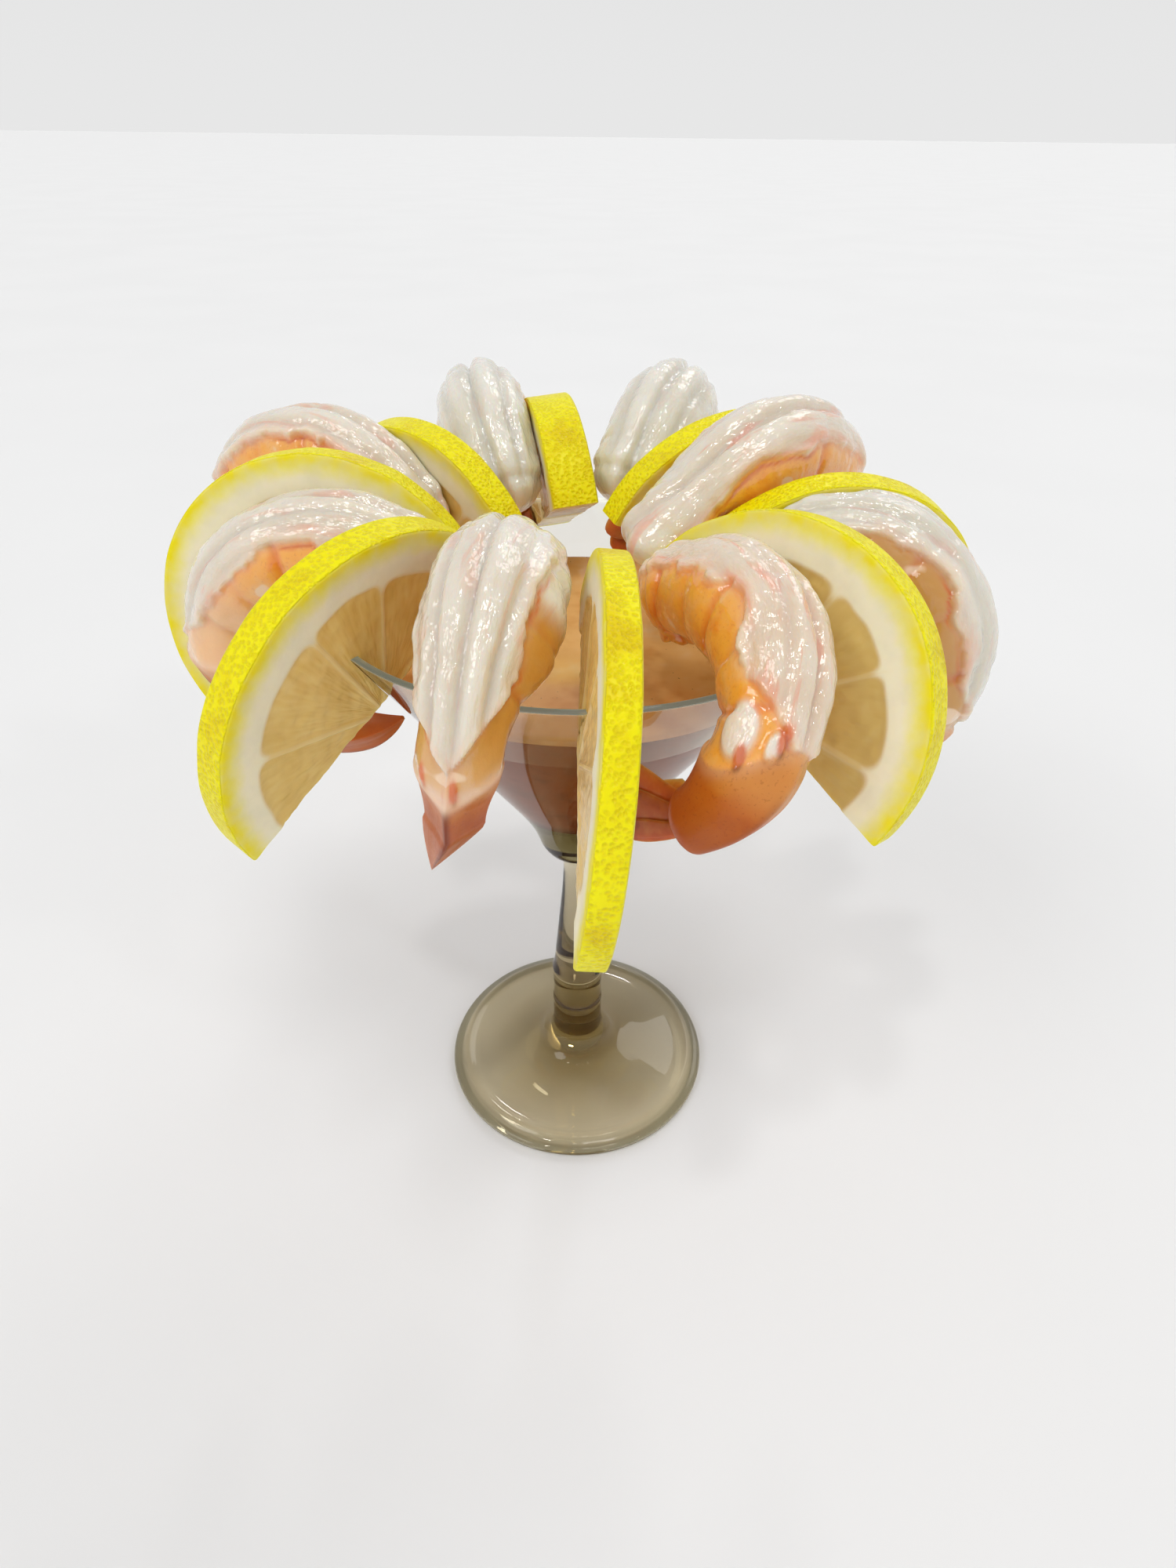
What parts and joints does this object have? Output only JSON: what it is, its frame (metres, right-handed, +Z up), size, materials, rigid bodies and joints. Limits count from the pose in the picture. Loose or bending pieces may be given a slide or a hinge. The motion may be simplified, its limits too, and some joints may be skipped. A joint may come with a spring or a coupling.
{
  "type": "prawn cocktail",
  "caption": "Stemmed cocktail glass holding sauce, with lemon half-slices and peeled tail-on prawns hooked by turns over its rim.",
  "frame": {"origin": "centre of the underside of the glass foot, on the stem's axis", "axes": "+Z up the stem, front towards -Y, +X to the right seen from the front"},
  "size_m": [0.1496, 0.1558, 0.1561],
  "materials": {
    "clear_glass": "clear polished glass",
    "sauce": "smooth, wet and glossy",
    "lemon": "waxy pitted rind, dull pith, moist flesh",
    "prawn": "moist, glossy"
  },
  "bodies": {
    "root": {"glass": "clear_glass", "cocktail_sauce": "sauce", "lemon_slice_1": "lemon", "lemon_slice_2": "lemon", "lemon_slice_3": "lemon", "lemon_slice_4": "lemon", "lemon_slice_5": "lemon", "lemon_slice_6": "lemon", "lemon_slice_7": "lemon", "lemon_slice_8": "lemon", "prawn_1": "prawn", "prawn_2": "prawn", "prawn_3": "prawn", "prawn_4": "prawn", "prawn_5": "prawn", "prawn_6": "prawn", "prawn_7": "prawn", "prawn_8": "prawn"}
  },
  "joints": []
}
